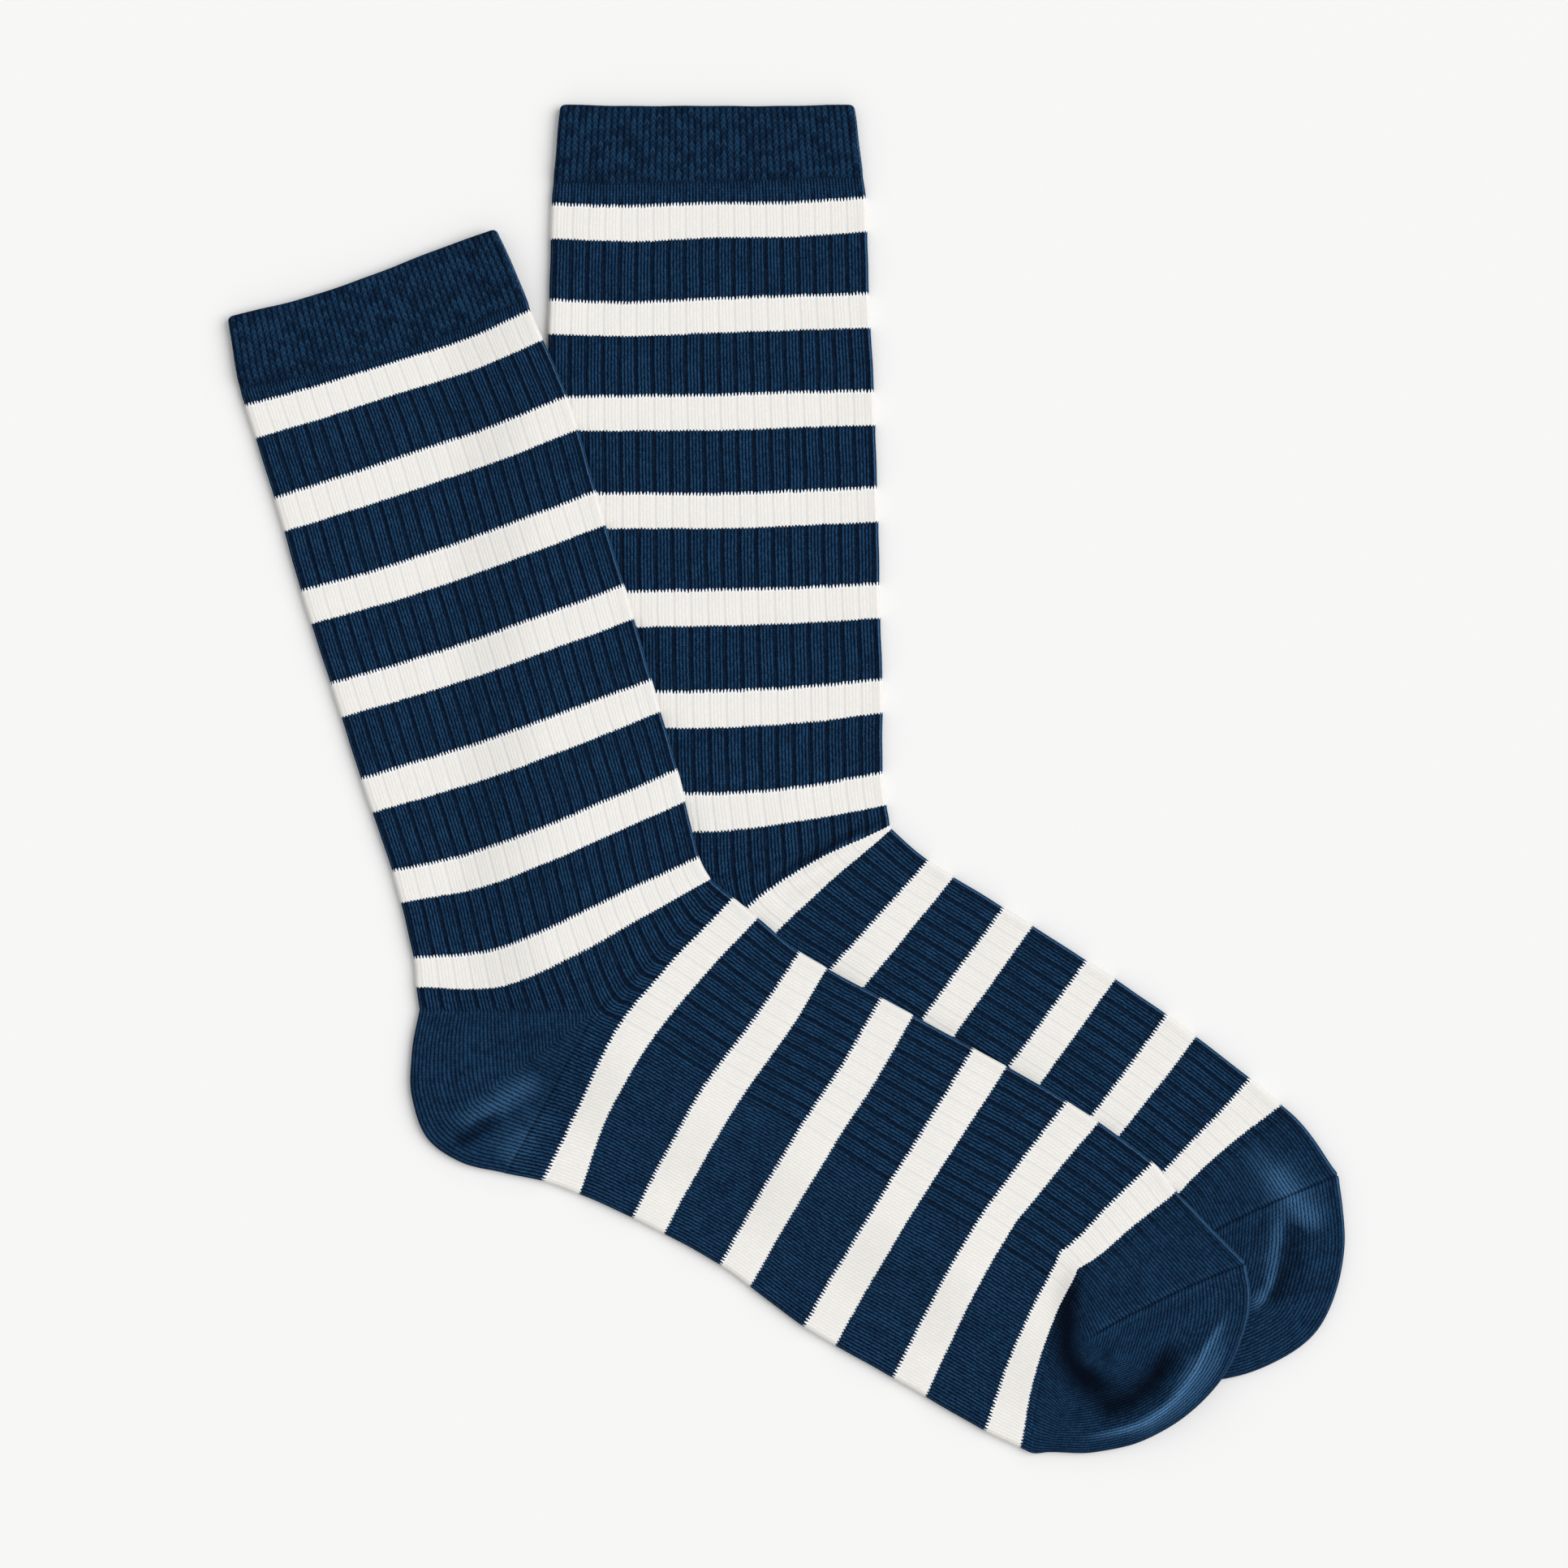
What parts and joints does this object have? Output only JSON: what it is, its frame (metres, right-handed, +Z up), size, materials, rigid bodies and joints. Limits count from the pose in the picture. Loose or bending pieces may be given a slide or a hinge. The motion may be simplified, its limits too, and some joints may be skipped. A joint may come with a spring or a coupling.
{
  "type": "pair of socks",
  "caption": "Ribbed crew socks in navy with narrow cream stripes, pressed flat on their sides, one sock lying across the other.",
  "frame": {"origin": "middle of the pair's footprint, on the surface it lies on", "axes": "+Z up from the surface, +Y from the toes to the cuffs, +X towards the side the toes point to"},
  "size_m": [0.2971, 0.3582, 0.0064],
  "materials": {
    "welt_knit": "matt braided welt knit",
    "rib_knit": "matt rib knit with cream stripes",
    "plain_knit": "matt plain knit"
  },
  "bodies": {
    "root": {"top_sock_cuff": "welt_knit", "top_sock_leg": "rib_knit", "top_sock_heel": "plain_knit", "top_sock_foot": "rib_knit", "top_sock_toe": "plain_knit", "under_sock_cuff": "welt_knit", "under_sock_leg": "rib_knit", "under_sock_heel": "plain_knit", "under_sock_foot": "rib_knit", "under_sock_toe": "plain_knit"}
  },
  "joints": []
}
